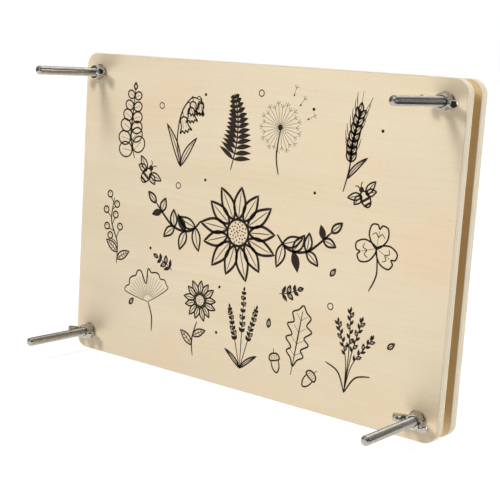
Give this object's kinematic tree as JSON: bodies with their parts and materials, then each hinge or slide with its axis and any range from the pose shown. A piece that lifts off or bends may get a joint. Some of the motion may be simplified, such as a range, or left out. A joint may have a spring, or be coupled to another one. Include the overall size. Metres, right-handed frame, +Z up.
{
  "type": "flower press",
  "caption": "Screw press for drying flowers: two pale plywood boards squeeze cards and blotting paper, with long screws, washers and wing nuts at the corners.",
  "frame": {"origin": "on the floor under the middle of the press as it stands on its long edge, midway between the screws' tips and heads", "axes": "+X along the boards' long side, to the right as the print is read; +Y to the back, away from the printed face; +Z up"},
  "size_m": [0.257, 0.0738, 0.182],
  "materials": {
    "plywood": "bare sanded plywood, fine horizontal grain, layered edges",
    "printed_plywood": "bare sanded plywood with a dark brown line print of plants",
    "screw_steel": "bright nickel plate over a rolled thread",
    "washer_steel": "bright nickel plate, lightly scuffed",
    "wing_nut_nickel": "bright nickel plate over a forged skin",
    "card": "brown kraft corrugated card, matt",
    "blotting_paper": "off-white blotting paper, matt and fibrous"
  },
  "bodies": {
    "back": {"back_board": "plywood"},
    "front": {"front_board": "printed_plywood"},
    "screw_tl": {"screw_tl": "screw_steel"},
    "screw_tr": {"screw_tr": "screw_steel"},
    "screw_bl": {"screw_bl": "screw_steel"},
    "screw_br": {"screw_br": "screw_steel"},
    "washer_tl": {"washer_tl": "washer_steel"},
    "washer_tr": {"washer_tr": "washer_steel"},
    "washer_bl": {"washer_bl": "washer_steel"},
    "washer_br": {"washer_br": "washer_steel"},
    "nut_tl": {"wing_nut_tl": "wing_nut_nickel"},
    "nut_tr": {"wing_nut_tr": "wing_nut_nickel"},
    "nut_bl": {"wing_nut_bl": "wing_nut_nickel"},
    "nut_br": {"wing_nut_br": "wing_nut_nickel"},
    "back_card": {"back_card": "card"},
    "blotter_1": {"blotter_1": "blotting_paper"},
    "blotter_2": {"blotter_2": "blotting_paper"},
    "middle_card": {"middle_card": "card"},
    "blotter_3": {"blotter_3": "blotting_paper"},
    "blotter_4": {"blotter_4": "blotting_paper"},
    "front_card": {"front_card": "card"}
  },
  "joints": [
    {"name": "press_opening", "type": "slide", "parent": "back", "child": "front", "axis": [0, -1, 0], "range_m": [-0.0008, 0.024]},
    {"name": "screw_tl_turn", "type": "hinge", "parent": "back", "child": "screw_tl", "pos_m": [-0.117, 0.03315, 0.1705], "axis": [0, -1, 0], "range_deg": [-10800, 360]},
    {"name": "screw_tr_turn", "type": "hinge", "parent": "back", "child": "screw_tr", "pos_m": [0.117, 0.03315, 0.1705], "axis": [0, -1, 0], "range_deg": [-10800, 360]},
    {"name": "screw_bl_turn", "type": "hinge", "parent": "back", "child": "screw_bl", "pos_m": [-0.117, 0.03315, 0.0115], "axis": [0, -1, 0], "range_deg": [-10800, 360]},
    {"name": "screw_br_turn", "type": "hinge", "parent": "back", "child": "screw_br", "pos_m": [0.117, 0.03315, 0.0115], "axis": [0, -1, 0], "range_deg": [-10800, 360]},
    {"name": "washer_tl_travel", "type": "slide", "parent": "front", "child": "washer_tl", "axis": [0, -1, 0], "range_m": [0, 0.018]},
    {"name": "nut_tl_turn", "type": "hinge", "parent": "washer_tl", "child": "nut_tl", "pos_m": [-0.117, 0.01215, 0.1705], "axis": [0, -1, 0], "range_deg": [0, 8100]},
    {"name": "washer_tr_travel", "type": "slide", "parent": "front", "child": "washer_tr", "axis": [0, -1, 0], "range_m": [0, 0.018]},
    {"name": "nut_tr_turn", "type": "hinge", "parent": "washer_tr", "child": "nut_tr", "pos_m": [0.117, 0.01215, 0.1705], "axis": [0, -1, 0], "range_deg": [0, 8100]},
    {"name": "washer_bl_travel", "type": "slide", "parent": "front", "child": "washer_bl", "axis": [0, -1, 0], "range_m": [0, 0.018]},
    {"name": "nut_bl_turn", "type": "hinge", "parent": "washer_bl", "child": "nut_bl", "pos_m": [-0.117, 0.01215, 0.0115], "axis": [0, -1, 0], "range_deg": [0, 8100]},
    {"name": "washer_br_travel", "type": "slide", "parent": "front", "child": "washer_br", "axis": [0, -1, 0], "range_m": [0, 0.018]},
    {"name": "nut_br_turn", "type": "hinge", "parent": "washer_br", "child": "nut_br", "pos_m": [0.117, 0.01215, 0.0115], "axis": [0, -1, 0], "range_deg": [0, 8100]},
    {"name": "back_card_travel", "type": "slide", "parent": "back", "child": "back_card", "axis": [0, -1, 0], "range_m": [-0.0001, 0.003]},
    {"name": "blotter_1_travel", "type": "slide", "parent": "back", "child": "blotter_1", "axis": [0, -1, 0], "range_m": [-0.0002, 0.006]},
    {"name": "blotter_2_travel", "type": "slide", "parent": "back", "child": "blotter_2", "axis": [0, -1, 0], "range_m": [-0.0003, 0.009]},
    {"name": "middle_card_travel", "type": "slide", "parent": "back", "child": "middle_card", "axis": [0, -1, 0], "range_m": [-0.0004, 0.012]},
    {"name": "blotter_3_travel", "type": "slide", "parent": "back", "child": "blotter_3", "axis": [0, -1, 0], "range_m": [-0.0005, 0.015]},
    {"name": "blotter_4_travel", "type": "slide", "parent": "back", "child": "blotter_4", "axis": [0, -1, 0], "range_m": [-0.0006, 0.018]},
    {"name": "front_card_travel", "type": "slide", "parent": "back", "child": "front_card", "axis": [0, -1, 0], "range_m": [-0.0007, 0.021]}
  ],
  "couplings": [
    {"joint": "screw_tl_turn", "follows": "press_opening", "rad_per_m": -7854},
    {"joint": "screw_tr_turn", "follows": "press_opening", "rad_per_m": -7854},
    {"joint": "screw_bl_turn", "follows": "press_opening", "rad_per_m": -7854},
    {"joint": "screw_br_turn", "follows": "press_opening", "rad_per_m": -7854},
    {"joint": "washer_tl_travel", "follows": "nut_tl_turn", "m_per_rad": 0.00012732},
    {"joint": "washer_tr_travel", "follows": "nut_tr_turn", "m_per_rad": 0.00012732},
    {"joint": "washer_bl_travel", "follows": "nut_bl_turn", "m_per_rad": 0.00012732},
    {"joint": "washer_br_travel", "follows": "nut_br_turn", "m_per_rad": 0.00012732},
    {"joint": "back_card_travel", "follows": "press_opening", "ratio": 0.125},
    {"joint": "blotter_1_travel", "follows": "press_opening", "ratio": 0.25},
    {"joint": "blotter_2_travel", "follows": "press_opening", "ratio": 0.375},
    {"joint": "middle_card_travel", "follows": "press_opening", "ratio": 0.5},
    {"joint": "blotter_3_travel", "follows": "press_opening", "ratio": 0.625},
    {"joint": "blotter_4_travel", "follows": "press_opening", "ratio": 0.75},
    {"joint": "front_card_travel", "follows": "press_opening", "ratio": 0.875}
  ]
}
